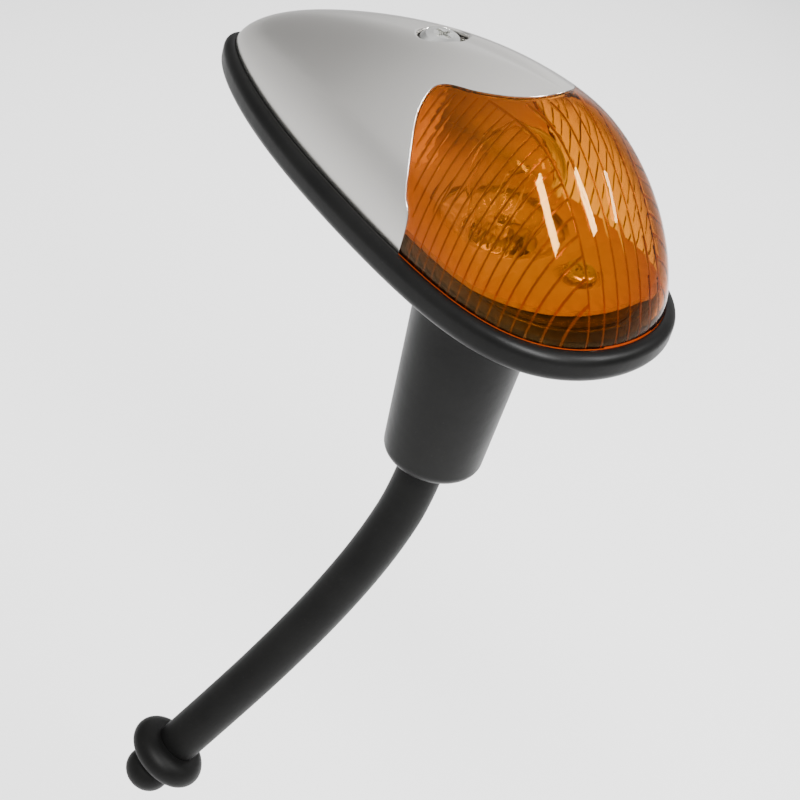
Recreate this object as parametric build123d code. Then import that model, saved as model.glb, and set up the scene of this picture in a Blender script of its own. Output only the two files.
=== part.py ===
from build123d import *
import math
import os

# Teardrop turn signal lamp for the top of a wing.
# Origin: centre of the rubber seal's flat underside, which lies on the wing.
# +Z is up out of the wing, +X points to the round lens end, -X to the narrow tail.
# The lamp is symmetric about y = 0, apart from the wire hose. Millimetres.

# ---- seal outline and dome -------------------------------------------------
seal_length = 168.0
half_length = seal_length / 2
half_width = 32.4                      # at the middle of the length
front_fullness = (0.389, 0.243, 0.223)  # widens the front and narrows the tail
outline_count = 36                     # spline points round a closed outline

seal_floor = 3.5                       # rubber under the housing
seal_rim = 8.9                         # top of the outer lip
body_inset = 3.7                       # outer lip thickness, where the dome starts
inner_lip_inset = 8.4
inner_lip_width = 1.8
inner_lip_top = 11.6

apex_x = 36.9                          # highest point, under the tip of the tongue
apex_z = 57.8
# a ring at height fraction h is the outline shrunk to (1 - h**n)**(1/m)
exponent_front = (1.40, 1.48)          # m, n towards the lens end
exponent_side = (1.89, 2.06)
exponent_tail = (1.54, 1.456)
ring_heights = (0.0, 0.06, 0.16, 0.30, 0.45, 0.60, 0.74, 0.86, 0.94, 0.98, 0.998)

cap_wall = 1.8
lens_wall = 2.4
lens_step_gap = 0.1                    # between the cap and the lens's tucked flange
lens_step_wall = 2.0
lens_step_reach = 5.0                  # how far the flange reaches under the cap

# ---- rubber boot under the seal --------------------------------------------
lamp_x = 30.3                          # axis of bulb, socket and boot
boot_top_radius = 18.4
boot_bottom_radius = 14.2
boot_height = 66.9
boot_wall = 2.6
boot_floor = 3.6
boot_edge_radius = 4.0

# ---- hose and its end grommet ----------------------------------------------
hose_diameter = 13.5
hose_route = (
    (29.4, -0.4, -60.0),
    (29.0, -1.0, -79.0),
    (25.4, -4.8, -101.5),
    (19.3, -10.4, -125.5),
    (11.6, -17.0, -150.0),
    (3.1, -24.6, -174.5),
    (-6.5, -34.0, -200.9),
)
corner_share = 0.45                    # of the shorter run that each arc takes
grommet_axis = (-0.278, -0.430, -0.859)  # it sits a little askew on the hose
grommet_pocket = 0.9                   # how deep the hose's end sits in the flange
grommet_flange_radius = 12.8
grommet_flange_length = 9.0
grommet_waist_radius = 6.2
grommet_waist_length = 1.2
grommet_nose_radius = 7.3
grommet_nose_length = 10.0

# ---- base casting and reflector plate --------------------------------------
base_inset = 10.5
base_floor = 2.6
base_wall = 2.0
plate_inset = 8.3
plate_bottom = 12.4
plate_thickness = 1.4
plate_top = plate_bottom + plate_thickness
plate_tail_x = -68.0
plate_bend_x = 48.5                    # from here the plate slopes up to its front edge
plate_front_x = 73.9
plate_front_top = 16.7
dimple_radius = 6.5                    # flat seat for the front screw, sunk in the slope
dimple_wall = 0.8
dish_rim_radius = 18.0
dish_low_radius = 10.4
dish_depth = 3.6

post_x = -7.1                          # cap screw post
post_foot_radius = 6.5
post_top_radius = 5.2
post_top = 43.2
post_hole_radius = 2.1
cup_outer_radius = 8.7                 # screw well in the cap
cup_inner_radius = 6.8
cup_floor_top = 46.4
screw_hole_radius = 2.7
washer_height = 0.9
cap_screw_head_radius = 5.9
cap_screw_head_height = 2.9
web_thickness = 2.4                    # ribs of the casting that stiffen the post
web_span = 44.0
web_reach = 41.0

fixing_x = (58.5, -38.0)               # the two screws that hold the lamp to the wing
fixing_radius = 2.5                    # M5 thread, below the lamp
fixing_shank_radius = 2.2              # plain shank inside the lamp
fixing_hole_radius = 2.7
fixing_length_below = 14.0
fixing_head_radius = 4.6
fixing_head_height = 2.8
fixing_boss_radius = 5.5

# ---- bulb and socket -------------------------------------------------------
bulb_cap_radius = 7.45
bulb_cap_top = 6.0
bulb_cap_bottom = -9.5
bulb_pin_z = -2.0
bulb_pin_radius = 1.0
bulb_pin_reach = 8.6
bulb_glass_radius = 12.5
bulb_glass_centre = 29.5
bulb_neck_radius = 6.6
bulb_neck_top = 9.6                    # stays inside the socket when the bulb is pushed in
glass_wall = 0.8
contact_gap = 0.05
socket_bore_radius = 7.7
socket_wall = 0.9
socket_bottom = -25.0
socket_flange_radius = 17.0
flange_thickness = 1.1
ledge_top = 7.5                        # ledge in the casting that carries the socket
ledge_radius = 19.6
ledge_bore_radius = 13.2
socket_flange_z = ledge_top + flange_thickness
socket_rivet_y = (-15.1, 15.1)
rivet_radius = 1.2
rivet_head_radius = 1.6
rivet_depth = 3.0
push_travel = 2.5
twist_travel = 18.0
disc_thickness = 2.0
disc_radius = 7.62
spring_radius = 5.2
spring_wire_radius = 0.45
spring_turns = 5
insulator_thickness = 3.0
contact_rivet_radius = 1.6
button_height = 0.8
bulb_contact_drop = 1.8                # solder contact below the bulb cap
blade_width = 6.3
blade_thickness = 0.8
filament_z = 30.0
filament_half = 4.0


def blend(c, front, side, tail):
    """Value for a direction whose cosine is c: front at 1, side at 0, tail at -1."""
    return side + (front - tail) / 2 * c + ((front + tail) / 2 - side) * c * c


def outline_xy(turn, inset):
    """Point of the teardrop outline, drawn in by inset, at a turn in radians."""
    c = math.cos(turn)
    k1, k2, k3 = front_fullness
    width = half_width * (1 + k1 * c + k2 * c * c + k3 * c**3) - inset
    return (half_length - inset) * c, width * math.sin(turn)


def turns():
    return [2 * math.pi * i / outline_count for i in range(outline_count)]


def closed_wire(points):
    return Wire([Edge.make_spline([Vector(*p) for p in points], periodic=True)])


def outline_slab(inset, low, high):
    """Prism of the teardrop outline between two heights."""
    wire = closed_wire([(*outline_xy(t, inset), low) for t in turns()])
    return extrude(Face(wire), amount=high - low, dir=(0, 0, 1))


def dome(depth, low=seal_floor):
    """Solid under the lamp's outer surface, drawn in by depth."""
    inset = body_inset + depth
    top = apex_z - depth
    rings = []
    for h in ring_heights:
        ring = []
        for t in turns():
            m = blend(math.cos(t), exponent_front[0], exponent_side[0], exponent_tail[0])
            n = blend(math.cos(t), exponent_front[1], exponent_side[1], exponent_tail[1])
            s = (1 - h**n) ** (1 / m)
            x, y = outline_xy(t, inset)
            ring.append((apex_x + (x - apex_x) * s, y * s, seal_rim + (top - seal_rim) * h))
        rings.append(closed_wire(ring))
    return Solid.make_loft(rings) + outline_slab(inset, low, seal_rim)


def disc_at(x, y, radius, low, high):
    return Pos(x, y, (low + high) / 2) * Cylinder(radius, high - low)


def tube_at(x, y, outer, inner, low, high):
    return disc_at(x, y, outer, low, high) - disc_at(x, y, inner, low - 1, high + 1)


def turned(profile, x=0.0, y=0.0):
    """Solid turned about a vertical axis from (radius, height) points."""
    face = Face(Wire.make_polygon([Vector(r, 0, z) for r, z in profile], close=True))
    return Pos(x, y, 0) * revolve(face, axis=Axis.Z, revolution_arc=360)


# ---- outer pieces ----------------------------------------------------------

# one side of the cap's front edge seen from above, from the rim to the tongue's tip
cap_flank = ((24.6, 33.5), (22.6, 31.0), (17.4, 28.2), (12.6, 24.6), (9.1, 20.4), (8.9, 17.2),
             (12.4, 15.4), (18.5, 14.4), (25.5, 12.4), (31.4, 9.4), (35.3, 5.0))
tongue_tip = (36.6, 0.0)


def cap_plan(grow):
    """Everything that the cap covers, seen from above, with its front edge moved out by grow."""
    line = [(x, -y) for x, y in cap_flank] + [tongue_tip] + list(reversed(cap_flank))
    moved = []
    for before, here, after in zip([line[0]] + line, line, line[1:] + [line[-1]]):
        along_x, along_y = after[0] - before[0], after[1] - before[1]
        step = grow / math.hypot(along_x, along_y)
        moved.append(Vector(here[0] + along_y * step, here[1] - along_x * step))
    first, last = moved[0], moved[-1]
    back = Polyline(last, (last.X, 60), (-100, 60), (-100, -60), (first.X, -60), first)
    return Face(Wire([Edge.make_spline(moved), *back.edges()]))


def cap_block(grow=0.0):
    return extrude(cap_plan(grow), amount=80, dir=(0, 0, 1))


def chrome_cap():
    shell = (dome(0) - dome(cap_wall, low=seal_floor - 1)) & cap_block()
    cup = dome(0) & disc_at(post_x, 0, cup_outer_radius, post_top, apex_z)
    well = disc_at(post_x, 0, cup_inner_radius, cup_floor_top, apex_z + 5)
    hole = disc_at(post_x, 0, screw_hole_radius, post_top - 1, apex_z)
    return shell + cup - well - hole


def lens():
    front = dome(0) - dome(lens_wall, low=seal_floor - 1) - cap_block()
    inner = cap_wall + lens_step_gap
    step = dome(inner) - dome(inner + lens_step_wall, low=seal_floor - 1)
    step = (step & cap_block(2.0)) - cap_block(-lens_step_reach)
    return front + step


def base_seal():
    """Gasket with an outer lip, an inner lip and the boot, moulded in one."""
    pad = outline_slab(0, 0, seal_rim)
    pad = fillet(pad.edges().filter_by(lambda e: e.length > seal_length), radius=3.0)
    pad -= outline_slab(body_inset, seal_floor, seal_rim + 1)
    lip = outline_slab(inner_lip_inset, seal_floor - 1, inner_lip_top)
    lip -= outline_slab(inner_lip_inset + inner_lip_width, seal_floor - 1, inner_lip_top + 1)
    slope = (boot_top_radius - boot_bottom_radius) / boot_height
    outer = turned([(0, 1), (boot_top_radius + slope, 1), (boot_bottom_radius, -boot_height),
                    (0, -boot_height)], lamp_x)
    bottom = outer.edges().filter_by(GeomType.CIRCLE).sort_by(Axis.Z)[0]
    outer = fillet(bottom, radius=boot_edge_radius)
    top_in = boot_top_radius - boot_wall
    low_in = boot_bottom_radius - boot_wall
    cavity = turned([(0, seal_floor + 1), (top_in, seal_floor + 1), (top_in, 0),
                     (low_in, boot_floor - boot_height), (0, boot_floor - boot_height)], lamp_x)
    seal = pad + lip + outer - cavity
    exit_x, exit_y, _ = hose_route[0]
    seal -= disc_at(exit_x, exit_y, hose_diameter / 2, -boot_height - 1, -55)
    for x in fixing_x:
        seal -= disc_at(x, 0, fixing_hole_radius, -1, seal_floor + 1)
    return seal


def hose_corners():
    """Radius of the arc at each inner point of the route."""
    points = [Vector(*p) for p in hose_route]
    radii = []
    for a, b, c in zip(points, points[1:], points[2:]):
        half_turn = math.radians((b - a).get_angle(c - b)) / 2
        shorter = min((b - a).length, (c - b).length)
        radii.append(corner_share * shorter / math.tan(half_turn))
    return radii


def wire_hose():
    radii = hose_corners()
    path = FilletPolyline(*hose_route, radius=radii)
    start = Plane(origin=path @ 0, z_dir=path % 0)
    hose = sweep(start * Circle(hose_diameter / 2), path=path)
    section = math.pi * hose_diameter**2 / 4
    print("hose radii", [round(r) for r in radii], "length", round(path.length, 1))
    print("hose volume over section x length", round(hose.volume / (section * path.length), 4))
    return hose


def hose_end_grommet():
    """Rubber bead on the hose's end, with a groove for a panel hole and a rounded nose."""
    flange = Pos(0, 0, grommet_flange_length / 2) * Cylinder(grommet_flange_radius,
                                                             grommet_flange_length)
    flange = fillet(flange.edges().filter_by(GeomType.CIRCLE), radius=4.3)
    nose_start = grommet_flange_length + grommet_waist_length
    waist = disc_at(0, 0, grommet_waist_radius, 1, nose_start + 1)
    nose = disc_at(0, 0, grommet_nose_radius, nose_start, nose_start + grommet_nose_length)
    ends = nose.edges().filter_by(GeomType.CIRCLE).sort_by(Axis.Z)
    nose = fillet(ends[-1], radius=6.0)
    nose = fillet(nose.edges().filter_by(GeomType.CIRCLE).sort_by(Axis.Z)[0], radius=1.2)
    before, end = Vector(*hose_route[-2]), Vector(*hose_route[-1])
    axis = Vector(*grommet_axis).normalized()
    bead = Plane(origin=end - axis * grommet_pocket, z_dir=axis) * (flange + waist + nose)
    return bead - Plane(origin=end, z_dir=before - end) * disc_at(0, 0, hose_diameter / 2, 0, 8)


# ---- inside the dome -------------------------------------------------------


def housing_base():
    """Casting that carries the plate, the cap's post and the fixing bosses."""
    outer = outline_slab(base_inset, seal_floor, plate_bottom)
    hollow = outline_slab(base_inset + base_wall, seal_floor + base_floor, plate_bottom + 1)
    base = outer - hollow
    top = seal_floor + base_floor
    base += turned([(0, top - 1), (post_foot_radius, top - 1), (post_top_radius, post_top),
                    (0, post_top)], post_x)
    middle, height = (top + plate_bottom) / 2, plate_bottom - top
    base += Pos(post_x, 0, middle) * Box(web_thickness, web_span, height)
    base += Pos(post_x - web_reach / 2, 0, middle) * Box(web_reach, web_thickness, height)
    base = base & outline_slab(base_inset, seal_floor, post_top)
    base += disc_at(lamp_x, 0, ledge_radius, top - 1, plate_bottom - 3.0)
    for x in fixing_x:
        base += disc_at(x, 0, fixing_boss_radius, top - 1, plate_bottom)
    base -= disc_at(lamp_x, 0, ledge_bore_radius, 0, plate_top)
    base -= disc_at(lamp_x, 0, socket_flange_radius + 0.3, ledge_top, plate_top)
    for y in socket_rivet_y:
        base -= disc_at(lamp_x, y, rivet_radius, ledge_top - rivet_depth, plate_top)
    base -= disc_at(post_x, 0, post_hole_radius, post_top - 16, post_top + 1)
    for x in fixing_x:
        base -= disc_at(x, 0, fixing_hole_radius, 0, plate_bottom + 1)
    return base


def plate_side(low_front, low_back):
    """Solid below the plate's top, seen from the side, down to a lower line."""
    side = Polyline((plate_tail_x, plate_top), (plate_bend_x, plate_top),
                    (plate_front_x, plate_front_top), (plate_front_x, low_front),
                    (plate_bend_x, low_back), (plate_tail_x, low_back), close=True)
    return extrude(make_face(Plane.XZ * side), amount=half_length, both=True)


def reflector_plate():
    """Bright pressed plate with a dish round the bulb and a front that slopes up."""
    plate = plate_side(plate_front_top - plate_thickness, plate_bottom)
    trim = outline_slab(plate_inset, plate_bottom - 1, plate_front_top + 1)
    plate = plate & trim & Pos(plate_front_x + plate_inset - half_length, 0, 0) * trim
    plate -= disc_at(lamp_x, 0, dish_rim_radius - 1.0, 0, 30)
    low = plate_top - dish_depth - plate_thickness
    dish = [(dish_rim_radius, plate_top), (dish_rim_radius - 1.4, plate_top - 1.2),
            (dish_low_radius, plate_top - dish_depth), (dish_low_radius, low),
            (dish_rim_radius - 1.2, plate_bottom - 1.2), (dish_rim_radius, plate_bottom)]
    plate += turned(dish, lamp_x)
    front_screw = fixing_x[0]
    plate -= disc_at(front_screw, 0, dimple_radius, 0, 30)
    dimple = tube_at(front_screw, 0, dimple_radius + dimple_wall, dimple_radius, plate_bottom, 30)
    plate += dimple & plate_side(plate_bottom, plate_bottom)
    plate += disc_at(front_screw, 0, dimple_radius + dimple_wall / 2, plate_bottom, plate_top)
    plate -= disc_at(post_x, 0, post_foot_radius + 0.3, 0, 30)
    for x in fixing_x:
        plate -= disc_at(x, 0, fixing_hole_radius, 0, 30)
    return plate


def cross_recess(x, top, size, depth):
    blade = Box(size, size / 4, depth) + Box(size / 4, size, depth)
    return Pos(x, 0, top - depth / 2) * blade


def cap_screw():
    seat = cup_floor_top + washer_height
    wide, top = cap_screw_head_radius, seat + cap_screw_head_height
    head = turned([(0, seat), (wide, seat), (wide, seat + 0.9), (wide - 1.2, top - 0.7),
                   (wide - 3.2, top - 0.1), (0, top)], post_x)
    shank = disc_at(post_x, 0, post_hole_radius, post_top - 12, seat + 1)
    return head + shank - cross_recess(post_x, top + 0.4, 5.2, 2.0)


def cap_screw_washer():
    return tube_at(post_x, 0, cap_screw_head_radius + 0.4, post_hole_radius + 0.2,
                   cup_floor_top, cup_floor_top + washer_height)


def fixing_screws():
    screws = []
    for x in fixing_x:
        seat = plate_top + washer_height
        head = disc_at(x, 0, fixing_head_radius, seat, seat + fixing_head_height)
        head = fillet(head.edges().sort_by(Axis.Z)[-1], radius=1.6)
        shank = disc_at(x, 0, fixing_shank_radius, -1, seat + 1)
        thread = disc_at(x, 0, fixing_radius, -fixing_length_below, 0)
        recess = cross_recess(x, seat + fixing_head_height, 4.6, 1.7)
        screws.append(head + shank + thread - recess)
    return screws


def fixing_washers():
    return [tube_at(x, 0, 4.4, fixing_shank_radius + 0.1, plate_top, plate_top + washer_height)
            for x in fixing_x]


# ---- socket ----------------------------------------------------------------


def ring_sector(inner, outer, low, high, start, end):
    """Part of a ring about the lamp axis between two directions in degrees."""
    face = make_face([
        Line((inner, low), (outer, low)), Line((outer, low), (outer, high)),
        Line((outer, high), (inner, high)), Line((inner, high), (inner, low))])
    face = Plane.XZ * face
    swept = revolve(face, axis=Axis.Z, revolution_arc=end - start)
    return Pos(lamp_x, 0, 0) * Rot(0, 0, start) * swept


def socket_shell():
    """Bayonet socket: tube with two J slots and a flange under the dish."""
    outer = socket_bore_radius + socket_wall
    shell = disc_at(lamp_x, 0, outer, socket_bottom, socket_flange_z - flange_thickness)
    shell += disc_at(lamp_x, 0, socket_flange_radius, socket_flange_z - flange_thickness,
                     socket_flange_z)
    shell -= disc_at(lamp_x, 0, socket_bore_radius, socket_bottom - 1, socket_flange_z + 1)
    for y in socket_rivet_y:
        shell -= disc_at(lamp_x, y, rivet_radius, ledge_top - 1, socket_flange_z + 1)
    side = 9.0                         # half the slot's angular width round a pin, degrees
    low = bulb_pin_z - push_travel - bulb_pin_radius - 0.5
    high = bulb_pin_z + bulb_pin_radius + 0.4
    for turn in (0, 180):
        slot = ring_sector(socket_bore_radius - 1, outer + 1, low, high, turn - side,
                           turn + twist_travel + side)
        entry = ring_sector(socket_bore_radius - 1, outer + 0.6, low, socket_flange_z + 1,
                            turn + twist_travel - side, turn + twist_travel + side)
        shell = shell - slot - entry
    return shell


def socket_rivets():
    """Two rivets that hold the socket flange down on the casting's ledge."""
    low = ledge_top - rivet_depth
    return [disc_at(lamp_x, y, rivet_radius, low, socket_flange_z)
            + disc_at(lamp_x, y, rivet_head_radius, socket_flange_z, socket_flange_z + 0.7)
            for y in socket_rivet_y]


def socket_insulator():
    low = socket_bottom
    return tube_at(lamp_x, 0, socket_bore_radius, contact_rivet_radius, low,
                   low + insulator_thickness)


def live_terminal():
    """Blade below the socket, riveted through the insulator to the spring."""
    low = socket_bottom
    top = low + insulator_thickness
    rivet = disc_at(lamp_x, 0, contact_rivet_radius, low - 1, top)
    head = disc_at(lamp_x, 0, 3.2, top, top + 0.6)
    foot = Pos(lamp_x, 0, low - 0.5) * Box(8, blade_width, 1.0)
    blade = Pos(lamp_x, 0, low - 6.5) * Box(blade_thickness, blade_width, 12)
    return rivet + head + foot + blade


def earth_terminal():
    """Blade that hangs from the socket flange into the boot."""
    tab_width = 3.4
    x = lamp_x - 10.6
    tab = Pos(x, 0, ledge_top - blade_thickness / 2) * Box(tab_width, blade_width, blade_thickness)
    blade = Pos(x, 0, ledge_top - 7) * Box(blade_thickness, blade_width, 14)
    return tab + blade


def disc_levels():
    """Bottom and top of the sliding contact disc at rest."""
    top = bulb_cap_bottom - bulb_contact_drop - contact_gap - button_height
    return top - disc_thickness, top


def contact_disc():
    low, top = disc_levels()
    return tube_at(lamp_x, 0, disc_radius, contact_rivet_radius, low, top)


def contact_button():
    low, top = disc_levels()
    return (disc_at(lamp_x, 0, 2.6, top, top + button_height)
            + disc_at(lamp_x, 0, contact_rivet_radius, low - button_height, top)
            + disc_at(lamp_x, 0, 3.0, low - button_height, low))


def contact_spring():
    """Coil between the insulator and the sliding disc."""
    low = socket_bottom + insulator_thickness
    high = disc_levels()[0]
    rise = high - low - 2 * spring_wire_radius
    helix = Helix(pitch=rise / spring_turns, height=rise, radius=spring_radius)
    start = Plane(origin=helix @ 0, z_dir=helix % 0)
    coil = sweep(start * Circle(spring_wire_radius), path=helix, is_frenet=True)
    return Pos(lamp_x, 0, low + spring_wire_radius) * coil


# ---- bulb ------------------------------------------------------------------


def bulb_cap():
    cap = tube_at(lamp_x, 0, bulb_cap_radius, bulb_cap_radius - 0.6, bulb_cap_bottom, bulb_cap_top)
    cap += disc_at(lamp_x, 0, bulb_cap_radius, bulb_cap_bottom, bulb_cap_bottom + 0.8)
    cap -= disc_at(lamp_x, 0, 4.2, bulb_cap_bottom - 1, bulb_cap_bottom + 2)
    for side in (-1, 1):
        inner = bulb_cap_radius - 0.3
        length = bulb_pin_reach - inner
        pin = Rot(0, 90, 0) * Cylinder(bulb_pin_radius, length)
        cap += Pos(lamp_x + side * (inner + length / 2), 0, bulb_pin_z) * pin
    return cap


def bulb_insulator():
    inner = contact_rivet_radius
    return turned([(inner, bulb_cap_bottom + 0.8), (4.2, bulb_cap_bottom + 0.8),
                   (4.2, bulb_cap_bottom), (2.6, bulb_cap_bottom - 1.0),
                   (inner, bulb_cap_bottom - 1.0)], lamp_x)


def bulb_contact():
    z = bulb_cap_bottom
    return (disc_at(lamp_x, 0, contact_rivet_radius, z - 1.0, z + 1.4)
            + disc_at(lamp_x, 0, 2.4, z - bulb_contact_drop, z - 1.0))


def glass_profile(radius, neck, low):
    """Solid of revolution for the envelope: a ball that narrows to a neck."""
    z = bulb_glass_centre
    halfway = ((neck + radius) / 2, bulb_neck_top + 0.3 * (z - bulb_neck_top))
    edges = [
        Line((0, low), (neck, low)),
        Line((neck, low), (neck, bulb_neck_top)),
        Spline((neck, bulb_neck_top), halfway, (radius, z), tangents=[(0, 1), (0, 1)]),
        CenterArc((0, z), radius, 0, 90),
        Line((0, z + radius), (0, low)),
    ]
    face = Plane.XZ * make_face(edges)
    return Pos(lamp_x, 0, 0) * revolve(face, axis=Axis.Z, revolution_arc=360)


def bulb_glass():
    low = bulb_cap_top - 6.0
    outer = glass_profile(bulb_glass_radius, bulb_neck_radius, low)
    return outer - glass_profile(bulb_glass_radius - glass_wall, bulb_neck_radius - glass_wall,
                                 low - 1)


def bulb_stem():
    """Glass mount that holds the lead wires."""
    return turned([(0, 1), (bulb_neck_radius - glass_wall - 0.2, 1),
                   (bulb_neck_radius - glass_wall - 0.2, 2), (2.6, 6), (2.2, 13), (2.8, 15),
                   (0, 15)], lamp_x)


def bulb_supports():
    wires = []
    for side in (-1, 1):
        foot = (lamp_x, side * 1.6, 15)
        knee = (lamp_x, side * filament_half, 19)
        tip = (lamp_x, side * filament_half, filament_z)
        path = Polyline(foot, knee, tip)
        start = Plane(origin=path @ 0, z_dir=path % 0)
        wires.append(sweep(start * Circle(0.35), path=path, transition=Transition.RIGHT))
    return wires


def bulb_filament():
    length = 2 * filament_half - 0.8
    helix = Helix(pitch=0.8, height=length, radius=0.6)
    start = Plane(origin=helix @ 0, z_dir=helix % 0)
    coil = sweep(start * Circle(0.16), path=helix, is_frenet=True)
    return Pos(lamp_x, length / 2, filament_z) * Rot(90, 0, 0) * coil


# ---- write every piece -----------------------------------------------------

pieces = (
    base_seal, wire_hose, hose_end_grommet, housing_base, reflector_plate, lens, chrome_cap,
    cap_screw, cap_screw_washer, fixing_screws, fixing_washers, socket_shell, socket_rivets,
    socket_insulator, live_terminal, earth_terminal, contact_spring, contact_disc,
    contact_button, bulb_cap, bulb_insulator, bulb_contact, bulb_glass, bulb_stem,
    bulb_supports, bulb_filament,
)

os.makedirs("parts", exist_ok=True)
for piece in pieces:
    made = piece()
    shape = Compound(children=list(made)) if isinstance(made, list) else made
    export_step(shape, f"parts/{piece.__name__}.step")
    print(piece.__name__, round(shape.volume, 1))
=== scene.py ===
import math

import bpy
import bmesh
import numpy as np
from mathutils import Matrix, Vector


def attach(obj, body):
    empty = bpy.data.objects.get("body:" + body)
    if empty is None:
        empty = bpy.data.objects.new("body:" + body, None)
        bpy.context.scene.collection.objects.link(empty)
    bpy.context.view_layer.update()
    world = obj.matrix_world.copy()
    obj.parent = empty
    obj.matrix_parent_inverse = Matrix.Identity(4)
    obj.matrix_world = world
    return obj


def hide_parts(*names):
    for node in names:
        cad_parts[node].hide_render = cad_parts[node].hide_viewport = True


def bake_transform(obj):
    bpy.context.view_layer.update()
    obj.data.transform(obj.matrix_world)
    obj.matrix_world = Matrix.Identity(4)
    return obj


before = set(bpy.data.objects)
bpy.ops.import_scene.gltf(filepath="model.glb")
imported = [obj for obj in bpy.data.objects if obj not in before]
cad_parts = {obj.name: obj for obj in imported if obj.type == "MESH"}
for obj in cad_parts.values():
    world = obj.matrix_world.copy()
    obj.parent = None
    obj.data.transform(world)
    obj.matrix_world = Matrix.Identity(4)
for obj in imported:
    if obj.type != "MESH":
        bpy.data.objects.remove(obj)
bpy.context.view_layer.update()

MM = 0.001
LAMP = "lamp_body"


# ---- the lamp's shape, in millimetres as the CAD gives it -------------------

half_length = 84.0
half_width = 32.4
front_fullness = (0.389, 0.243, 0.223)
seal_floor = 3.5
seal_rim = 8.9
body_inset = 3.7
apex_x = 36.9
apex_z = 57.8
exponent_front = (1.40, 1.48)
exponent_side = (1.89, 2.06)
exponent_tail = (1.54, 1.456)
lamp_x = 30.3
post_x = -7.1
skirt_drop = seal_rim - seal_floor


def mixed(c, front, side, tail):
    """Value that goes from tail through side to front as c goes from -1 to 1."""
    return side + (front - tail) / 2 * c + ((front + tail) / 2 - side) * c * c


def outline(turn, inset):
    """Teardrop outline drawn in by inset: x and y arrays for an array of turns."""
    c = np.cos(turn)
    k1, k2, k3 = front_fullness
    width = half_width * (1 + k1 * c + k2 * c**2 + k3 * c**3) - inset
    return (half_length - inset) * c, width * np.sin(turn)


def dome(turn, share, depth):
    """Points of the dome's surface, drawn in by depth.
    share is 0 at the apex, 1 at the rim, and runs on to 2 down the skirt."""
    c = np.cos(turn)
    m = mixed(c, exponent_front[0], exponent_side[0], exponent_tail[0])
    n = mixed(c, exponent_front[1], exponent_side[1], exponent_tail[1])
    s = np.clip(share, 0, 1)
    x, y = outline(turn, body_inset + depth)
    rise = np.maximum(1 - s**m, 0) ** (1 / n)
    z = seal_rim + (apex_z - depth - seal_rim) * rise - skirt_drop * np.maximum(share - 1, 0)
    return np.stack([apex_x + (x - apex_x) * s, y * s, z], -1)


def crown(x, y):
    """Height of the dome above a point of its plan, well inside the rim."""
    turn = np.arctan2(y, x - apex_x)
    for _ in range(30):
        ox, oy = outline(turn, body_inset)
        turn = turn + 0.7 * (np.arctan2(y, x - apex_x) - np.arctan2(oy, ox - apex_x))
    ox, oy = outline(turn, body_inset)
    share = np.hypot(x - apex_x, y) / np.hypot(ox - apex_x, oy)
    return dome(turn, share, 0)[..., 2]


# ---- mesh helpers ----------------------------------------------------------


def new_piece(name, points, faces, material, body=LAMP, normals=None):
    """Mesh object from points in millimetres, riding on a body."""
    mesh = bpy.data.meshes.new(name)
    mesh.from_pydata((np.asarray(points, float) * MM).tolist(), [], [list(f) for f in faces])
    mesh.validate()
    mesh.polygons.foreach_set("use_smooth", [True] * len(mesh.polygons))
    mesh.set_sharp_from_angle(angle=math.radians(38))
    if normals is not None:
        mesh.normals_split_custom_set_from_vertices(np.asarray(normals, float).tolist())
    piece = bpy.data.objects.new(name, mesh)
    bpy.context.scene.collection.objects.link(piece)
    mesh.materials.append(material)
    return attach(piece, body) if body else piece


def other_look(piece, material, faces):
    """Gives some of a piece's faces another material."""
    piece.data.materials.append(material)
    for i in faces:
        piece.data.polygons[i].material_index = len(piece.data.materials) - 1


def join_shells(shells):
    """One list of points and one of faces from several (points, faces)."""
    points, faces, start = [], [], 0
    for some, their_faces in shells:
        points.append(np.asarray(some, float))
        faces += [[i + start for i in f] for f in their_faces]
        start += len(some)
    return np.concatenate(points), faces


def loops_to_shell(loops, cap_first=False, cap_last=False, ring=False):
    """Quads between closed loops of equal size; caps are single faces."""
    count = len(loops[0])
    faces = []
    last = len(loops) if ring else len(loops) - 1
    for j in range(last):
        a, b = j * count, (j + 1) % len(loops) * count
        for i in range(count):
            k = (i + 1) % count
            faces.append([a + i, a + k, b + k, b + i])
    if cap_first:
        faces.append(list(range(count))[::-1])
    if cap_last:
        faces.append([(len(loops) - 1) * count + i for i in range(count)])
    return np.concatenate(loops), faces


def arc_points(centre, radius, start, end, count):
    """Points of an arc in a profile, angles in degrees."""
    return [(centre[0] + radius * math.cos(math.radians(a)),
             centre[1] + radius * math.sin(math.radians(a)))
            for a in np.linspace(start, end, count)]


def turned(profile, x=0.0, y=0.0, count=64, closed=False):
    """Shell turned about a vertical axis from (radius, height) points."""
    turn = np.linspace(0, 2 * math.pi, count, endpoint=False)
    loops = [np.stack([x + r * np.cos(turn), y + r * np.sin(turn), np.full(count, float(z))], -1)
             for r, z in profile]
    return loops_to_shell(loops, cap_first=not closed, cap_last=not closed, ring=closed)


# ---- the dome cut along the cap's front edge --------------------------------

cap_flank = (
    (25.4, 33.5), (24.6, 31.6), (21.3, 30.3), (17.4, 28.2), (12.6, 24.6), (9.1, 20.4),
    (8.9, 17.2), (12.4, 15.4), (18.5, 14.4), (25.5, 12.4), (31.4, 9.4), (35.3, 5.0),
)
tongue_tip = (36.6, 0.0)


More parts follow.
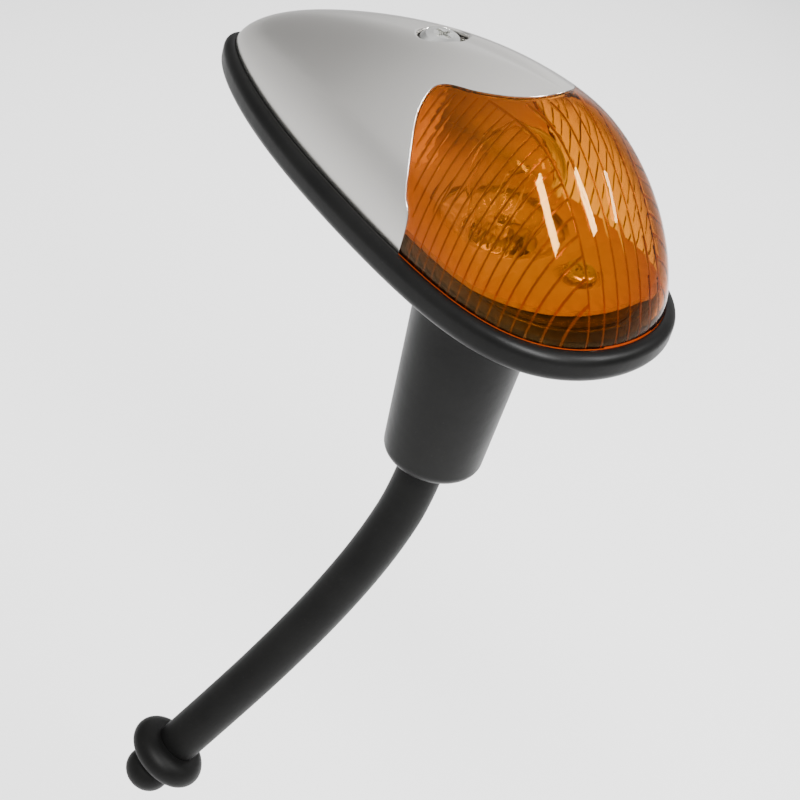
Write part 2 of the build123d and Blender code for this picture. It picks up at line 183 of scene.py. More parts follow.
def smooth_line(points, count):
    """Natural cubic spline through plan points, as many points as asked."""
    points = np.asarray(points, float)
    knots = np.concatenate([[0], np.cumsum(np.linalg.norm(np.diff(points, axis=0), axis=1))])
    h = np.diff(knots)
    size = len(points)
    matrix, right = np.eye(size), np.zeros((size, 2))
    for i in range(1, size - 1):
        matrix[i, i - 1:i + 2] = h[i - 1], 2 * (h[i - 1] + h[i]), h[i]
        right[i] = 6 * ((points[i + 1] - points[i]) / h[i] - (points[i] - points[i - 1]) / h[i - 1])
    bend = np.linalg.solve(matrix, right)
    at = np.linspace(0, knots[-1], count)
    k = np.clip(np.searchsorted(knots, at) - 1, 0, size - 2)
    a, b = (knots[k + 1] - at)[:, None], (at - knots[k])[:, None]
    hk = h[k][:, None]
    return ((bend[k] * a**3 + bend[k + 1] * b**3) / (6 * hk)
            + (points[k] / hk - bend[k] * hk / 6) * a
            + (points[k + 1] / hk - bend[k + 1] * hk / 6) * b)


cap_edge = smooth_line([(x, -y) for x, y in cap_flank] + [tongue_tip] + list(cap_flank)[::-1], 200)


def inside_cap(x, y):
    """Plan distance to the cap's front edge, in mm, above zero where the cap covers."""
    p = np.stack([np.ravel(x), np.ravel(y)], -1)
    a, step = cap_edge[:-1], np.diff(cap_edge, axis=0)
    best = np.full(len(p), np.inf)
    signed = np.zeros(len(p))
    for start, along in zip(a, step):
        off = p - start
        share = np.clip(off @ along / (along @ along), 0, 1)
        gap = off - share[:, None] * along
        far = np.hypot(gap[:, 0], gap[:, 1])
        side = along[0] * off[:, 1] - along[1] * off[:, 0]
        nearer = far < best - 1e-12
        best[nearer] = far[nearer]
        signed[nearer] = np.sign(side[nearer]) * far[nearer]
    return signed.reshape(np.shape(x))


def cap_distance(params):
    """Distance to the cap's front edge for points of the dome given by parameters."""
    at = dome(params[:, 0], params[:, 1], 0)
    return inside_cap(at[:, 0], at[:, 1])


def well_distance(params):
    """Distance to the middle of the screw well."""
    at = dome(params[:, 0], params[:, 1], 0)
    return np.hypot(at[:, 0] - post_x, at[:, 1])


def grid(turns, shares):
    """Parameter grid of quads; the first share is the pole, as one point."""
    rows = [np.array([[0.0, shares[0]]])]
    rows += [np.stack([turns, np.full(len(turns), s)], -1) for s in shares[1:]]
    count = len(turns)
    faces = [[0, 1 + i, 2 + i] for i in range(count - 1)]
    for j in range(len(shares) - 2):
        a, b = 1 + j * count, 1 + (j + 1) * count
        faces += [[a + i, b + i, b + i + 1, a + i + 1] for i in range(count - 1)]
    return np.concatenate(rows), faces


def split(params, faces, distance, level):
    """Cuts every face that crosses distance == level, sharing the new points."""
    value = distance(params) - level
    value[np.abs(value) < 1e-4] = 0
    cuts, kept, ends = {}, [], []

    def cut(a, b):
        key = (min(a, b), max(a, b))
        if key not in cuts:
            cuts[key] = len(params) + len(cuts)
            ends.append(key)
        return cuts[key]

    for face in faces:
        signs = value[face]
        if signs.min() >= 0 or signs.max() <= 0:
            kept.append(face)
            continue
        over, under = [], []
        for i, a in enumerate(face):
            b = face[(i + 1) % len(face)]
            if value[a] >= 0:
                over.append(a)
            if value[a] <= 0:
                under.append(a)
            if value[a] * value[b] < 0:
                new = cut(a, b)
                over.append(new)
                under.append(new)
        kept += [f for f in (over, under) if len(f) > 2]
    if not ends:
        return params, kept
    low, high = params[[a for a, _ in ends]], params[[b for _, b in ends]]
    for pole in (low, high):
        other = high if pole is low else low
        at_pole = pole[:, 1] == 0
        pole[at_pole, 0] = other[at_pole, 0]
    v_low, v_high = value[[a for a, _ in ends]], value[[b for _, b in ends]]
    for _ in range(12):
        share = v_low / (v_low - v_high)
        share = np.clip(share, 0.02, 0.98)[:, None]
        new = low + (high - low) * share
        v_new = distance(new) - level
        same = np.sign(v_new) == np.sign(v_low)
        low = np.where(same[:, None], new, low)
        v_low = np.where(same, v_new, v_low)
        high = np.where(same[:, None], high, new)
        v_high = np.where(same, v_high, v_new)
    return np.concatenate([params, new]), kept


def keep_where(params, faces, *distances):
    """Faces whose corners are on average over zero in every distance, and their points."""
    for distance in distances:
        value = distance(params)
        faces = [f for f in faces if value[f].mean() > 0]
    used = sorted({i for f in faces for i in f})
    place = {old: new for new, old in enumerate(used)}
    return params[used], [[place[i] for i in f] for f in faces]


def open_edges(faces):
    """Edges that only one face uses, in that face's direction."""
    seen = {}
    for f in faces:
        for i, a in enumerate(f):
            b = f[(i + 1) % len(f)]
            seen[(a, b)] = seen.get((a, b), 0) + 1
    return [(a, b) for a, b in seen if (b, a) not in seen]


def slope_normals(place, params):
    """Unit normals of a surface given as a function of the parameters."""
    step = 2e-4
    around = place(params + [step, 0]) - place(params - [step, 0])
    down = place(params + [0, step]) - place(np.maximum(params - [0, step], [-9, 1e-5]))
    normal = np.cross(down, around)
    length = np.linalg.norm(normal, axis=1)
    normal[length < 1e-9] = (0, 0, 1)
    return normal / np.linalg.norm(normal, axis=1)[:, None]


def thick_shell(params, faces, outer, inner):
    """Closed shell between two surfaces over the same parameters, with outer normals."""
    count = len(params)
    points = np.concatenate([outer(params), inner(params)])
    every = [list(f) for f in faces] + [[i + count for i in reversed(f)] for f in faces]
    every += [[b, a, a + count, b + count] for a, b in open_edges(faces)]
    return points, every


def rounded(distance, radius):
    """How far a surface drops towards an edge that is rounded off."""
    gap = np.clip(radius - distance, 0, radius)
    return radius - np.sqrt(np.maximum(radius**2 - gap**2, 0))


def share_rows(count, skirt_rows):
    """Rows of the dome's grid, close together near the rim, then down the skirt."""
    rows = np.sin(np.linspace(0, math.pi / 2, count + 1))
    return np.concatenate([rows, 1 + np.linspace(0, 1, skirt_rows + 1)[1:]])


# ---- materials -------------------------------------------------------------


def material(name, colour, rough=0.5, metallic=0.0, **sockets):
    """Principled material with its plain values set on the shader."""
    made = bpy.data.materials.new(name)
    made.use_nodes = True
    shader = made.node_tree.nodes["Principled BSDF"]
    shader.inputs["Base Color"].default_value = (*colour, 1)
    shader.inputs["Roughness"].default_value = rough
    shader.inputs["Metallic"].default_value = metallic
    for socket, value in sockets.items():
        shader.inputs[socket.replace("_", " ")].default_value = value
    return made


def add(tree, kind, **values):
    """New node with attributes, and with inputs named in a dict called inputs."""
    node = tree.nodes.new(kind)
    for key, value in values.pop("inputs", {}).items():
        node.inputs[key].default_value = value
    for key, value in values.items():
        setattr(node, key, value)
    return node


def noise(tree, scale, detail=2.0, rough=0.5):
    """Noise that is fixed to the piece."""
    coords = add(tree, "ShaderNodeTexCoord")
    node = add(tree, "ShaderNodeTexNoise",
               inputs={"Scale": scale, "Detail": detail, "Roughness": rough})
    tree.links.new(coords.outputs["Object"], node.inputs["Vector"])
    return node.outputs["Fac"]


def ramp(tree, value, low, high, colour_low, colour_high):
    """Colour that goes from one to the other between two values."""
    node = add(tree, "ShaderNodeValToRGB")
    node.color_ramp.elements[0].position = low
    node.color_ramp.elements[1].position = high
    node.color_ramp.elements[0].color = (*colour_low, 1)
    node.color_ramp.elements[1].color = (*colour_high, 1)
    tree.links.new(value, node.inputs["Fac"])
    return node.outputs["Color"]


def bump(tree, value, strength, distance, before=None):
    """Normal from a height, on top of another normal if one is given."""
    node = add(tree, "ShaderNodeBump", inputs={"Strength": strength, "Distance": distance})
    tree.links.new(value, node.inputs["Height"])
    if before is not None:
        tree.links.new(before, node.inputs["Normal"])
    return node.outputs["Normal"]


def shader_of(made):
    return made.node_tree.nodes["Principled BSDF"]


def rubber(name, base, rough, shine=0.2):
    """Dark moulded rubber with fine grain, a little bloom and faint dust."""
    made = material(name, (base, base, base * 0.95), rough, Specular_IOR_Level=shine)
    tree = made.node_tree
    shader = shader_of(made)
    cloudy = noise(tree, 60, 4)
    light = tuple(min(1, base * k) for k in (1.5, 1.5, 1.42))
    dark = tuple(base * k for k in (0.75, 0.75, 0.72))
    tone = ramp(tree, cloudy, 0.35, 0.7, dark, light)
    specks = noise(tree, 2600, 0)
    dust = ramp(tree, specks, 0.80, 0.84, (0, 0, 0), (1, 1, 1))
    mix = add(tree, "ShaderNodeMix", data_type="RGBA")
    tree.links.new(dust, mix.inputs["Factor"])
    tree.links.new(tone, mix.inputs[6])
    mix.inputs[7].default_value = (0.012, 0.0115, 0.011, 1)
    tree.links.new(mix.outputs[2], shader.inputs["Base Color"])
    rough_map = add(tree, "ShaderNodeMapRange",
                    inputs={"To Min": rough - 0.08, "To Max": rough + 0.1})
    tree.links.new(cloudy, rough_map.inputs["Value"])
    tree.links.new(rough_map.outputs["Result"], shader.inputs["Roughness"])
    grain = noise(tree, 2500, 3)
    waves = noise(tree, 140, 2)
    first = bump(tree, waves, 0.25, 0.0004)
    tree.links.new(bump(tree, grain, 0.25, 0.00008, first), shader.inputs["Normal"])
    return made


# ---- camera ----------------------------------------------------------------


def camera():
    """Camera at the viewing angle, given by azimuth, elevation and roll."""
    azimuth, elevation, roll = (math.radians(a) for a in (38.28, 35.35, 16.52))
    distance, slide_right, slide_up = 0.6366, -0.0091, -0.0690
    aim = Vector((0, 0, 0.020))
    right = Vector((math.cos(azimuth), math.sin(azimuth), 0))
    back = Vector((math.sin(azimuth) * math.cos(elevation),
                   -math.cos(azimuth) * math.cos(elevation), math.sin(elevation)))
    up = back.cross(right)
    turned_right = right * math.cos(roll) + up * math.sin(roll)
    turned_up = up * math.cos(roll) - right * math.sin(roll)
    data = bpy.data.cameras.new("camera")
    data.lens = 106.35
    data.clip_start, data.clip_end = 0.01, 20
    eye = bpy.data.objects.new("camera", data)
    place = aim + back * distance + turned_right * slide_right + turned_up * slide_up
    eye.matrix_world = Matrix.Translation(place) @ Matrix(
        (turned_right, turned_up, back)).transposed().to_4x4()
    bpy.context.scene.collection.objects.link(eye)
    bpy.context.scene.camera = eye


camera()


# ---- hose ------------------------------------------------------------------

hose_route = (
    (29.4, -0.4, -60.0),
    (29.0, -1.0, -79.0),
    (25.4, -4.8, -101.5),
    (19.3, -10.4, -125.5),
    (11.6, -17.0, -150.0),
    (3.1, -24.6, -174.5),
    (-6.5, -34.0, -200.9),
)
hose_diameter = 13.5
grommet_axis = (-0.278, -0.430, -0.859)
hose_material = rubber("hose_rubber_look", 0.003, 0.5, 0.12)


def hose():
    curve = bpy.data.curves.new("hose", "CURVE")
    curve.dimensions = "3D"
    line = curve.splines.new("NURBS")
    line.points.add(len(hose_route) - 1)
    for point, place in zip(line.points, hose_route):
        point.co = (*(c * MM for c in place), 1)
    line.order_u = 3
    line.use_endpoint_u = True
    line.resolution_u = 16
    curve.bevel_depth = hose_diameter / 2 * MM
    curve.bevel_resolution = 10
    curve.use_fill_caps = True
    curve.materials.append(hose_material)
    piece = bpy.data.objects.new("hose", curve)
    bpy.context.scene.collection.objects.link(piece)
    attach(piece, LAMP)
    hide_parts("wire_hose")
    return piece


the_hose = hose()


def grommet():
    """Fat flange, waist and rounded nose, a little askew on the hose's end."""
    profile = [(0.0, 0.0), (8.3, 0.0)]
    profile += arc_points((8.3, 4.5), 4.5, -84, 74, 24)
    profile += [(8.7, 9.0), (7.3, 9.45), (6.7, 9.9), (6.6, 10.3)]
    profile += arc_points((1.0, 13.9), 6.35, -20, 88, 28)
    profile += [(0.6, 20.28), (0.0, 20.3)]
    points, faces = turned(profile, count=64)
    axis = Vector(grommet_axis).normalized()
    start = Vector(hose_route[-1]) - axis * 0.9
    place = Matrix.Translation(start) @ axis.to_track_quat("Z", "Y").to_matrix().to_4x4()
    points = [place @ Vector(p) for p in points]
    piece = new_piece("hose_grommet", points, faces, hose_material)
    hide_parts("hose_end_grommet")
    return piece


the_grommet = grommet()


# ---- rubber seal with its boot ----------------------------------------------

boot_top_radius = 18.4
boot_bottom_radius = 14.2
boot_height = 66.9
boot_edge_radius = 4.0
cavity_top_radius = 15.8
cavity_bottom_radius = 11.6
cavity_floor = -63.3
flare = 2.2                            # fillet between the underside and the boot
seal_material = rubber("seal_rubber_look", 0.003, 0.40, 0.17)


def seal():
    """Outer lip, groove, inner lip, flat underside and hollow boot as one shell."""
    turn = np.linspace(0, 2 * math.pi, 288, endpoint=False)

    def rim(inset, z):
        x, y = outline(turn, inset)
        return np.stack([x, y, np.full(len(turn), z)], -1)

    def circle(radius, z, x=lamp_x, y=0.0):
        return np.stack([x + radius * np.cos(turn), y + radius * np.sin(turn),
                         np.full(len(turn), z)], -1)

    lip = [(10.25, 3.5), (10.2, 11.2), (9.9, 11.55), (8.75, 11.55), (8.4, 11.2), (8.4, 3.45),
           (3.66, 3.45), (3.66, 8.35), (3.5, 8.75)]
    lip += [(x, z) for x, z in arc_points((3.1, 5.75), 3.1, 90, 180, 12)]
    lip += [(0.0, 4.6)]
    lip += [(x, z) for x, z in arc_points((3.3, 3.3), 3.3, 180, 270, 12)]
    lean = math.atan((boot_top_radius - boot_bottom_radius) / boot_height)
    start = boot_top_radius - math.tan(lean) * flare + flare
    boot = [(start + 0.6, 0.0)]
    boot += arc_points((start, -flare), flare, 90, 180 - math.degrees(lean), 8)
    centre_z = boot_edge_radius - boot_height
    wall = boot_top_radius + math.tan(lean) * centre_z
    boot += [(boot_top_radius + math.tan(lean) * z, z) for z in (-20, -40)]
    boot += arc_points((wall - boot_edge_radius / math.cos(lean), centre_z), boot_edge_radius,
                       -math.degrees(lean), -90, 14)
    exit_x, exit_y, _ = hose_route[0]
    hose_hole = ((7.6, -boot_height), (7.0, 0.5 - boot_height), (6.8, 1.4 - boot_height),
                 (6.8, cavity_floor))
    cavity = ((cavity_bottom_radius, cavity_floor), (cavity_top_radius, 0.0),
              (cavity_top_radius, seal_floor))
    loops = [rim(*p) for p in lip] + [rim(14.0, 0.0)] + [circle(*p) for p in boot]
    loops += [circle(r, z, exit_x, exit_y) for r, z in hose_hole]
    loops += [circle(r, z) for r, z in cavity]
    points, faces = loops_to_shell(loops, ring=True)
    piece = new_piece("seal", points, faces, seal_material)
    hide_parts("base_seal")


seal()


# ---- chrome cap -------------------------------------------------------------

cap_wall = 1.8
cap_edge_radius = 0.16
well_radius = 6.8
well_floor = 46.4
lip_radius = 0.8


def chrome_look():
    """Plated metal: near mirror with a faint haze and orange peel."""
    made = material("chrome_look", (0.80, 0.78, 0.745), 0.10, 1.0)
    tree = made.node_tree
    haze = noise(tree, 45, 3)
    rough = add(tree, "ShaderNodeMapRange", inputs={"To Min": 0.17, "To Max": 0.25})
    tree.links.new(haze, rough.inputs["Value"])
    shader = shader_of(made)
    tree.links.new(rough.outputs["Result"], shader.inputs["Roughness"])
    peel = noise(tree, 320, 2)
    tree.links.new(bump(tree, peel, 0.05, 0.0002), shader.inputs["Normal"])
    return made


def plating_inside():
    """Pale dull coat on the cap's inner side, which throws the bulb's light out."""
    made = material("cap_inside_look", (0.9, 0.88, 0.84), 0.5)
    tree = made.node_tree
    cloudy = noise(tree, 120, 3)
    tone = ramp(tree, cloudy, 0.3, 0.7, (0.86, 0.84, 0.80), (0.92, 0.90, 0.86))
    tree.links.new(tone, shader_of(made).inputs["Base Color"])
    return made


chrome = chrome_look()
dull_plating = plating_inside()


def cap_outer(params):
    """Outside of the cap, drawn in at its front edge and sunk round the well."""
    near = rounded(cap_distance(params), cap_edge_radius)
    drop = rounded(well_distance(params) - well_radius, lip_radius)
    points = dome(params[:, 0], params[:, 1], near)
    points[:, 2] -= drop
    return points


def cap_inner(params):
    return dome(params[:, 0], params[:, 1], cap_wall)


def cap():
    turns = np.linspace(math.radians(60), math.radians(300), 181)
    params, faces = grid(turns, share_rows(60, 3))
    for level in (0.0, 0.03, 0.09, cap_edge_radius):
        params, faces = split(params, faces, cap_distance, level)
    for level in (0.0, 0.08, 0.22, 0.45, lip_radius):
        params, faces = split(params, faces, well_distance, well_radius + level)
    params, faces = keep_where(params, faces, cap_distance,
                               lambda p: well_distance(p) - well_radius)
    shell = thick_shell(params, faces, cap_outer, cap_inner)
    turn = np.linspace(0, 2 * math.pi, 72, endpoint=False)
    loops = []
    for r, z in ((2.7, 43.2), (2.7, well_floor), (6.4, well_floor), (6.75, well_floor + 0.12),
                 (6.83, well_floor + 0.5), (6.83, None), (8.7, None), (8.7, 43.2)):
        x, y = post_x + r * np.cos(turn), r * np.sin(turn)
        height = crown(x, y) - 1.2 if z is None else np.full(len(turn), z)
        loops.append(np.stack([x, y, height], -1))
    cup = loops_to_shell(loops, ring=True)
    points, every = join_shells([shell, cup])
    normals = np.zeros((len(points), 3))
    normals[:len(params)] = slope_normals(cap_outer, params)
    piece = new_piece("cap", points, every, chrome, normals=normals)
    other_look(piece, dull_plating, range(len(faces), 2 * len(faces)))
    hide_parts("chrome_cap")
    return piece


cap()


# ---- lens --------------------------------------------------------------------

lens_wall = 2.4
lens_edge_radius = 0.35
rib_fade = 0.6                         # ribs start this far from the cap's edge and rise over as much
rib_height = 0.08
rib_half_width = 0.24
side_rib_pitch = 3.2
rib_first_x = 11.7
rib_last_x = 77.0
middle_rib_pitch = 4.2
middle_ribs = 3


def lamp_rays_pass(made, tint):
    """Lets light from lamps and from matt surfaces straight through a clear material."""
    tree = made.node_tree
    paths = add(tree, "ShaderNodeLightPath")
    either = add(tree, "ShaderNodeMath", operation="MAXIMUM")
    tree.links.new(paths.outputs["Is Shadow Ray"], either.inputs[0])
    tree.links.new(paths.outputs["Is Diffuse Ray"], either.inputs[1])
    open_way = add(tree, "ShaderNodeBsdfTransparent", inputs={"Color": (*tint, 1)})
    choice = add(tree, "ShaderNodeMixShader")
    tree.links.new(either.outputs["Value"], choice.inputs["Fac"])
    tree.links.new(shader_of(made).outputs["BSDF"], choice.inputs[1])
    tree.links.new(open_way.outputs["BSDF"], choice.inputs[2])
    tree.links.new(choice.outputs["Shader"], tree.nodes["Material Output"].inputs["Surface"])


def amber_look(name, clear, rough, colour):
    """Clear amber plastic, deeper where the light's way through it is long."""
    made = material(name, colour, rough, IOR=1.49, Transmission_Weight=clear)
    tree = made.node_tree
    shader_of(made).inputs["Specular Tint"].default_value = (1.0, 0.55, 0.15, 1)
    flow = noise(tree, 90, 2)
    tree.links.new(bump(tree, flow, 0.08, 0.0004), shader_of(made).inputs["Normal"])
    soak = add(tree, "ShaderNodeVolumeAbsorption",
               inputs={"Color": (0.925, 0.77, 0.0, 1), "Density": 1500.0})
    tree.links.new(soak.outputs["Volume"], tree.nodes["Material Output"].inputs["Volume"])
    lamp_rays_pass(made, (1.0, 0.84, 0.045))
    return made


amber = amber_look("amber_look", 1.0, 0.015, (1.0, 0.94, 0.82))
amber_rib = amber_look("amber_rib_look", 0.88, 0.2, (1.0, 0.74, 0.25))
amber_foot = amber_look("amber_foot_look", 0.6, 0.3, (0.8, 0.10, 0.01))


def rib_places():
    """Levels of x for the ribs across the sides, and of y for those along the middle."""
    across = np.arange(rib_first_x, rib_last_x, side_rib_pitch)
    along = np.arange(-middle_ribs, middle_ribs + 1) * middle_rib_pitch
    return across, along


def tent(value, places):
    """1 at any of the places, down to 0 at half a rib's width from it."""
    away = np.abs(value[:, None] - places[None, :]).min(axis=1)
    return np.clip(1 - away / rib_half_width, 0, 1)


def inner_wall(params):
    """Inside of the lens without its ribs."""
    return dome(params[:, 0], params[:, 1], lens_wall)


def rib(params):
    """Share of a rib's height: ribs run along the middle and across both sides."""
    at = inner_wall(params)
    across, along = rib_places()
    middle = tent(at[:, 1], along)
    sides = np.where(np.abs(at[:, 1]) > along[-1], tent(at[:, 0], across), 0)
    under_cap = np.clip((-cap_distance(params) - rib_fade) / rib_fade, 0, 1)
    return np.maximum(middle, sides) * under_cap


def lens_outer(params):
    """Outside of the lens, drawn in a little beside the cap."""
    near = rounded(-cap_distance(params), lens_edge_radius)
    return dome(params[:, 0], params[:, 1], near)


def lens_inner(params):
    return dome(params[:, 0], params[:, 1], lens_wall + rib(params) * rib_height)


def lens():
    turns = np.linspace(-math.radians(125), math.radians(125), 151)
    params, faces = grid(turns, share_rows(48, 3))
    for level in (0.0, -0.1, -lens_edge_radius, -0.7, -2 * rib_fade):
        params, faces = split(params, faces, cap_distance, level)
        if level == 0.0:
            params, faces = keep_where(params, faces, lambda p: -cap_distance(p))
    across, along = rib_places()
    for axis, places in ((0, across), (1, along)):
        for place in places:
            for side in (-rib_half_width, 0.0, rib_half_width):
                params, faces = split(params, faces, lambda p: inner_wall(p)[:, axis],
                                      place + side)
    points, every = thick_shell(params, faces, lens_outer, lens_inner)
    normals = np.zeros((len(points), 3))
    normals[:len(params)] = slope_normals(lens_outer, params)
    piece = new_piece("amber_lens", points, every, amber, normals=normals)
    raised = rib(params)
    height = points[:, 2]
    other_look(piece, amber_rib, [len(faces) + i for i, f in enumerate(faces)
                                   if raised[f].mean() > 0.2])
    other_look(piece, amber_foot, [i for i, f in enumerate(faces)
                                   if height[f].max() < seal_rim + 0.4])
    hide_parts("lens")
    return piece


lens()


# ---- pieces that keep their CAD shape ----------------------------------------


def metal(name, colour, rough, spread=0.1, wear=0.85, grain=900, depth=0.12):
    """Metal whose tone and gloss vary a little, with fine tool marks."""
    made = material(name, colour, rough, 1.0)
    tree = made.node_tree
    shader = shader_of(made)
    cloudy = noise(tree, 260, 4)
    worn = tuple(c * wear for c in colour)
    tree.links.new(ramp(tree, cloudy, 0.3, 0.7, worn, colour), shader.inputs["Base Color"])
    gloss = add(tree, "ShaderNodeMapRange",
                inputs={"To Min": rough - spread / 2, "To Max": rough + spread})
    tree.links.new(cloudy, gloss.inputs["Value"])
    tree.links.new(gloss.outputs["Result"], shader.inputs["Roughness"])
    tree.links.new(bump(tree, noise(tree, grain, 3), depth, 0.0001), shader.inputs["Normal"])
    return made


def reflector_look():
    """Bright pressed plate, smooth on the flat and hammered in the dish, with painted shade darkening
    a ring round the dish on its far side.
    """
    made = metal("reflector_look", (0.50, 0.47, 0.40), 0.34, 0.1, 0.94, 500, 0.06)
    tree = made.node_tree
    shader = shader_of(made)
    shader.inputs["Metallic"].default_value = 0.2
    coords = add(tree, "ShaderNodeTexCoord")
    centre = add(tree, "ShaderNodeVectorMath", operation="SUBTRACT")
    centre.inputs[1].default_value = (lamp_x * MM, 0, 0)
    flat = add(tree, "ShaderNodeVectorMath", operation="MULTIPLY")
    flat.inputs[1].default_value = (1, 1, 0)
    away = add(tree, "ShaderNodeVectorMath", operation="LENGTH")
    tree.links.new(coords.outputs["Object"], centre.inputs[0])
    tree.links.new(centre.outputs["Vector"], flat.inputs[0])
    tree.links.new(flat.outputs["Vector"], away.inputs[0])
    inside = add(tree, "ShaderNodeMapRange", inputs={
        "From Min": 17.2 * MM, "From Max": 16.6 * MM, "To Min": 0.0, "To Max": 1.0})
    tree.links.new(away.outputs["Value"], inside.inputs["Value"])
    cells = add(tree, "ShaderNodeTexVoronoi", feature="SMOOTH_F1", inputs={"Scale": 420.0})
    tree.links.new(coords.outputs["Object"], cells.inputs["Vector"])
    dents = add(tree, "ShaderNodeMath", operation="MULTIPLY")
    tree.links.new(cells.outputs["Distance"], dents.inputs[0])
    tree.links.new(inside.outputs["Result"], dents.inputs[1])
    before = shader.inputs["Normal"].links[0].from_socket
    tree.links.new(bump(tree, dents.outputs["Value"], 1.0, 0.0009, before),
                   shader.inputs["Normal"])
    # Painted shade: a dark ring round the rim of the dish stands in for shade in the groove there.
    painted_shade_ring = add(tree, "ShaderNodeValToRGB")
    for place in (0.4, 0.75):
        painted_shade_ring.color_ramp.elements.new(place)
    for element, tone in zip(painted_shade_ring.color_ramp.elements, (1.0, 0.2, 0.2, 1.0)):
        element.color = (tone, tone, tone, 1)
    ring = add(tree, "ShaderNodeMapRange", inputs={"From Min": 16.3 * MM, "From Max": 18.6 * MM})
    tree.links.new(away.outputs["Value"], ring.inputs["Value"])
    tree.links.new(ring.outputs["Result"], painted_shade_ring.inputs["Fac"])
    # Painted shade: the ring darkens only the dish's far-left half, the side turned away from the
    # light.
    side = add(tree, "ShaderNodeVectorMath", operation="DOT_PRODUCT")
    side.inputs[1].default_value = (-0.8, 0.6, 0)
    tree.links.new(centre.outputs["Vector"], side.inputs[0])
    painted_shade_side = add(tree, "ShaderNodeMapRange", inputs={"From Min": -4 * MM, "From Max": 5 * MM})
    tree.links.new(side.outputs["Value"], painted_shade_side.inputs["Value"])
    painted_shade_mix = add(tree, "ShaderNodeMix", data_type="RGBA", blend_type="MULTIPLY")
    tree.links.new(painted_shade_side.outputs["Result"], painted_shade_mix.inputs["Factor"])
    tree.links.new(shader.inputs["Base Color"].links[0].from_socket, painted_shade_mix.inputs[6])
    tree.links.new(painted_shade_ring.outputs["Color"], painted_shade_mix.inputs[7])
    tree.links.new(painted_shade_mix.outputs[2], shader.inputs["Base Color"])
    return made


def moulded(name, colour, rough):
    """Plain moulded or cast surface with fine grain."""
    made = material(name, colour, rough)
    tree = made.node_tree
    shader = shader_of(made)
    cloudy = noise(tree, 180, 4)
    dark = tuple(c * 0.8 for c in colour)
    tree.links.new(ramp(tree, cloudy, 0.3, 0.7, dark, colour), shader.inputs["Base Color"])
    tree.links.new(bump(tree, noise(tree, 1500, 3), 0.2, 0.0001), shader.inputs["Normal"])
    return made


def casting_look():
    """Zinc casting in two tones by height, as painted light and shade: pale in the lit space above
    the plate, near-black in the shaded gap below it.
    """
    made = metal("casting_look", (0.80, 0.79, 0.76), 0.5, 0.12, 0.9, 700, 0.4)
    tree = made.node_tree
    shader = shader_of(made)
    shader.inputs["Metallic"].default_value = 0.1
    coords = add(tree, "ShaderNodeTexCoord")
    parts = add(tree, "ShaderNodeSeparateXYZ")
    level = add(tree, "ShaderNodeMapRange", inputs={"From Min": 12.6 * MM, "From Max": 13.4 * MM})
    # Painted shade: below about 13 mm the casting turns near-black for the unlit gap under the plate,
    # and above it stays pale where light falls.
    choice = add(tree, "ShaderNodeMix", data_type="RGBA")
    choice.inputs[6].default_value = (0.06, 0.06, 0.06, 1)
    tree.links.new(coords.outputs["Object"], parts.inputs["Vector"])
    tree.links.new(parts.outputs["Z"], level.inputs["Value"])
    tree.links.new(level.outputs["Result"], choice.inputs["Factor"])
    tree.links.new(shader.inputs["Base Color"].links[0].from_socket, choice.inputs[7])
    tree.links.new(choice.outputs[2], shader.inputs["Base Color"])
    return made


def glass_look(name, colour):
    """Clear blown glass, slightly wavy."""
    made = material(name, colour, 0.01, IOR=1.5, Transmission_Weight=1.0)
    tree = made.node_tree
    tree.links.new(bump(tree, noise(tree, 70, 1), 0.05, 0.0003), shader_of(made).inputs["Normal"])
    lamp_rays_pass(made, (0.93, 0.93, 0.93))
    return made


zinc = metal("zinc_look", (0.74, 0.74, 0.72), 0.22, 0.12)
nickel = metal("nickel_look", (0.78, 0.74, 0.66), 0.36, 0.12)
brass = metal("brass_look", (0.78, 0.57, 0.27), 0.25, 0.14)
solder = metal("solder_look", (0.55, 0.55, 0.54), 0.42, 0.12, 0.75, 400, 0.5)
tungsten = metal("filament_look", (0.30, 0.29, 0.28), 0.4, 0.1)
casting = casting_look()
insulator = moulded("insulator_look", (0.32, 0.14, 0.05), 0.42)
black_glass = moulded("black_glass_look", (0.012, 0.012, 0.014), 0.12)
washer_rubber = rubber("washer_rubber_look", 0.015, 0.6)
clear_glass = glass_look("clear_glass_look", (0.97, 0.98, 0.97))

for name, look in {
    "housing_base": casting, "reflector_plate": reflector_look(),
    "cap_screw": zinc, "cap_screw_washer": washer_rubber,
    "fixing_screws": zinc, "fixing_washers": zinc,
    "socket_shell": nickel, "socket_rivets": brass, "socket_insulator": insulator,
    "live_terminal": brass, "earth_terminal": brass,
    "contact_disc": insulator, "contact_button": brass,
    "bulb_cap": nickel, "bulb_insulator": black_glass, "bulb_contact": solder,
    "bulb_glass": clear_glass, "bulb_stem": clear_glass, "bulb_supports": nickel,
    "bulb_filament": tungsten,
}.items():
    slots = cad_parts[name].data.materials
    slots.clear()
    slots.append(look)


# ---- contact spring ----------------------------------------------------------

spring_low = -21.55
spring_high = -14.62


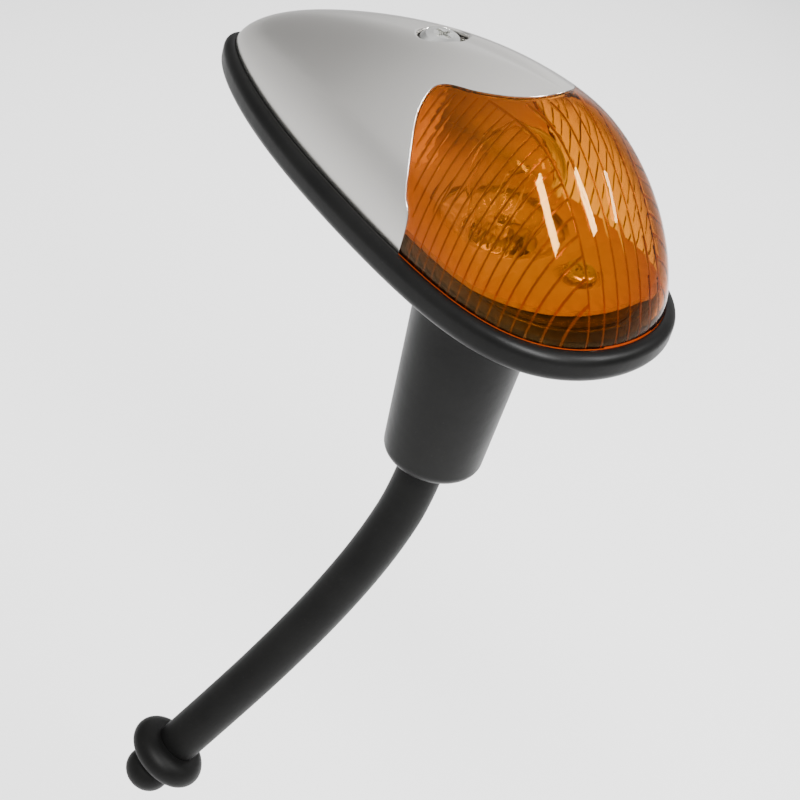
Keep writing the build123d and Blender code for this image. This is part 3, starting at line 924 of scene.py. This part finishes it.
def spring():
    """Coil with closed end turns, built at one fixed length; the real spring gives as the bulb is
    pushed in.
    """
    radius, wire, per_turn, across = 5.2, 0.45, 40, 12
    total, flat_end = 6.2, 0.6
    count = int(total * per_turn) + 1
    turn = np.linspace(0, total, count)
    rise = np.clip((turn - flat_end) / (total - 2 * flat_end), 0, 1)
    z = spring_low + (spring_high - spring_low) * rise
    angle = turn * 2 * math.pi
    middle = np.stack([lamp_x + radius * np.cos(angle), radius * np.sin(angle), z], -1)
    along = np.gradient(middle, axis=0)
    along /= np.linalg.norm(along, axis=1)[:, None]
    out = np.stack([np.cos(angle), np.sin(angle), np.zeros(count)], -1)
    side = np.cross(along, out)
    loops = [middle + wire * (math.cos(a) * out + math.sin(a) * side)
             for a in np.linspace(0, 2 * math.pi, across, endpoint=False)]
    loops = np.swapaxes(np.array(loops), 0, 1)
    points, faces = loops_to_shell(list(loops), cap_first=True, cap_last=True)
    piece = new_piece("spring", points, faces, zinc, body=None)
    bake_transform(piece)
    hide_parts("contact_spring")


spring()


# ---- floor and light -------------------------------------------------------


def stage():
    bm = bmesh.new()
    bmesh.ops.create_grid(bm, x_segments=2, y_segments=2, size=6)
    mesh = bpy.data.meshes.new("floor")
    bm.to_mesh(mesh)
    bm.free()
    floor = bpy.data.objects.new("floor", mesh)
    floor.location.z = -0.5
    mesh.materials.append(material("floor_look", (0.9, 0.9, 0.9), 0.9))
    bpy.context.scene.collection.objects.link(floor)


def area_light(name, place, aim, along, width, height, radiance):
    """Panel that faces aim, its width running along a direction."""
    place, aim = Vector(place), Vector(aim)
    back = (place - aim).normalized()
    across = Vector(along)
    across = (across - back * across.dot(back)).normalized()
    data = bpy.data.lights.new(name, "AREA")
    data.shape = "RECTANGLE"
    data.size, data.size_y = width, height
    data.energy = radiance * width * height * math.pi
    lamp = bpy.data.objects.new(name, data)
    lamp.matrix_world = Matrix.Translation(place) @ Matrix(
        (across, back.cross(across), back)).transposed().to_4x4()
    bpy.context.scene.collection.objects.link(lamp)


def strip_light(name, start, end, thickness, radiance, reach=1.3):
    """Long thin panel seen from the lens between two directions."""
    lens_middle = Vector((0.058, -0.012, 0.040))
    start, end = (Vector(d).normalized() * reach for d in (start, end))
    area_light(name, lens_middle + (start + end) / 2, lens_middle, end - start,
               (end - start).length, thickness, radiance)


def sky():
    """Soft surround: brighter behind the lamp, darker behind the camera."""
    world = bpy.data.worlds.new("sky")
    bpy.context.scene.world = world
    world.use_nodes = True
    tree = world.node_tree
    back = tree.nodes["Background"]
    back.inputs["Color"].default_value = (1, 1, 1, 1)
    coords = add(tree, "ShaderNodeTexCoord")
    split_up = add(tree, "ShaderNodeSeparateXYZ")
    side = add(tree, "ShaderNodeMapRange", inputs={"From Min": -1.0, "From Max": 1.0})
    level = add(tree, "ShaderNodeValToRGB")
    stops = ((0.0, 0.38), (0.05, 0.50), (0.13, 0.95), (0.22, 1.30), (0.40, 0.8),
             (0.6, 0.40), (1.0, 0.35))
    for place, tone in stops[1:-1]:
        level.color_ramp.elements.new(place)
    for element, (place, tone) in zip(level.color_ramp.elements, stops):
        element.position = place
        element.color = (tone, tone, tone, 1)
    tree.links.new(coords.outputs["Generated"], split_up.inputs["Vector"])
    tree.links.new(split_up.outputs["X"], side.inputs["Value"])
    tree.links.new(side.outputs["Result"], level.inputs["Fac"])
    tree.links.new(level.outputs["Color"], back.inputs["Strength"])


stage()
sky()
area_light("floor_glow", (-0.34, 0.62, -0.28), (-0.34, 0.62, -0.5), (1, 0, 0), 1.2, 1.2, 1.8)
strip_light("strip_near", (0.16, -0.564, 0.81), (0.755, -0.40, 0.52), 0.17, 80)
strip_light("strip_middle", (0.513, 0.291, 0.807), (0.767, 0.374, 0.521), 0.13, 80)
strip_light("strip_far", (0.419, 0.706, 0.571), (0.613, 0.666, 0.424), 0.045, 45)
